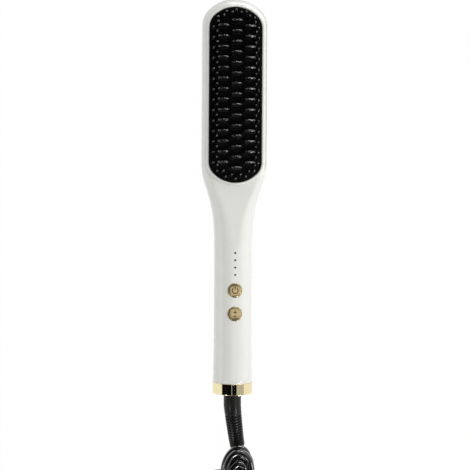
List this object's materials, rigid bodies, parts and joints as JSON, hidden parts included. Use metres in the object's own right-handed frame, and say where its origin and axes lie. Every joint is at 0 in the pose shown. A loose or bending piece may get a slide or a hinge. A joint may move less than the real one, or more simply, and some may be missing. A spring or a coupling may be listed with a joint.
{
  "type": "hair straightening brush",
  "caption": "Corded hair straightening brush: long white handle, oblong comb head of heated fins inside a guard of pins, push buttons, gold end ring, swivel cord folded in a tied hank.",
  "frame": {"origin": "under the middle of the brush without its cord, on the surface that it lies on", "axes": "+Y from the cord end to the head's tip, +Z out of the comb, +X to the right seen from the comb's side with the head up"},
  "size_m": [0.0466, 0.5688, 0.0354],
  "materials": {
    "white_shell": "moulded, pearl gloss",
    "gold_metal": "polished, gold plated",
    "black_comb": "moulded, gloss",
    "black_coated_fins": "cast aluminium under a black glaze",
    "aluminium_plate": "cast",
    "black_cord": "extruded, satin",
    "black_boot": "moulded, satin",
    "plug_plastic": "moulded, satin",
    "nickel_pins": "nickel plated",
    "spring_steel": "rolled",
    "white_ceramic": "fired",
    "board_laminate": "laminate, satin",
    "inner_plastic": "moulded, matt",
    "clear_plastic": "moulded, smoked",
    "brass_contact": "turned"
  },
  "bodies": {
    "brush": {"front_shell": "white_shell", "back_shell": "white_shell", "end_ring": "gold_metal", "comb_frame": "black_comb", "guard_pins": "black_comb", "heating_fins": "black_coated_fins", "heating_plate": "aluminium_plate", "heater_strip": "white_ceramic", "mica_sheet": "white_ceramic", "heater_clamp": "spring_steel", "clamp_screws": "spring_steel", "thermal_fuse": "spring_steel", "temperature_sensor": "white_ceramic", "heat_baffle": "aluminium_plate", "circuit_board": "board_laminate", "board_screws": "spring_steel", "power_switch": "inner_plastic", "temperature_switch": "inner_plastic", "status_leds": "clear_plastic", "light_guide": "clear_plastic", "supply_capacitor": "inner_plastic", "power_triac": "inner_plastic", "terminal_block": "inner_plastic", "heater_leads": "black_cord", "supply_leads": "black_cord", "swivel_socket": "inner_plastic", "contact_springs": "brass_contact"},
    "power_key": {"power_button": "gold_metal", "power_plunger": "inner_plastic"},
    "temperature_key": {"temperature_button": "gold_metal", "temperature_plunger": "inner_plastic"},
    "cord_swivel": {"swivel_spindle": "inner_plastic", "slip_rings": "brass_contact", "retaining_clip": "spring_steel", "strain_relief": "black_boot", "cord_lead": "black_cord", "cord_hank": "black_cord", "cord_tail": "black_cord", "cord_tie": "black_boot", "plug_body": "plug_plastic", "plug_pins": "nickel_pins"}
  },
  "joints": [
    {"name": "power_press", "type": "slide", "parent": "brush", "child": "power_key", "axis": [0, 0, -1], "range_m": [0, 0.0004], "stiffness_N_per_m": 900, "springref_m": -0.0005},
    {"name": "temperature_press", "type": "slide", "parent": "brush", "child": "temperature_key", "axis": [0, 0, -1], "range_m": [0, 0.0004], "stiffness_N_per_m": 900, "springref_m": -0.0005},
    {"name": "cord_turn", "type": "hinge", "parent": "brush", "child": "cord_swivel", "pos_m": [0, -0.1389, 0.0144], "axis": [0, 1, 0], "continuous": true}
  ]
}
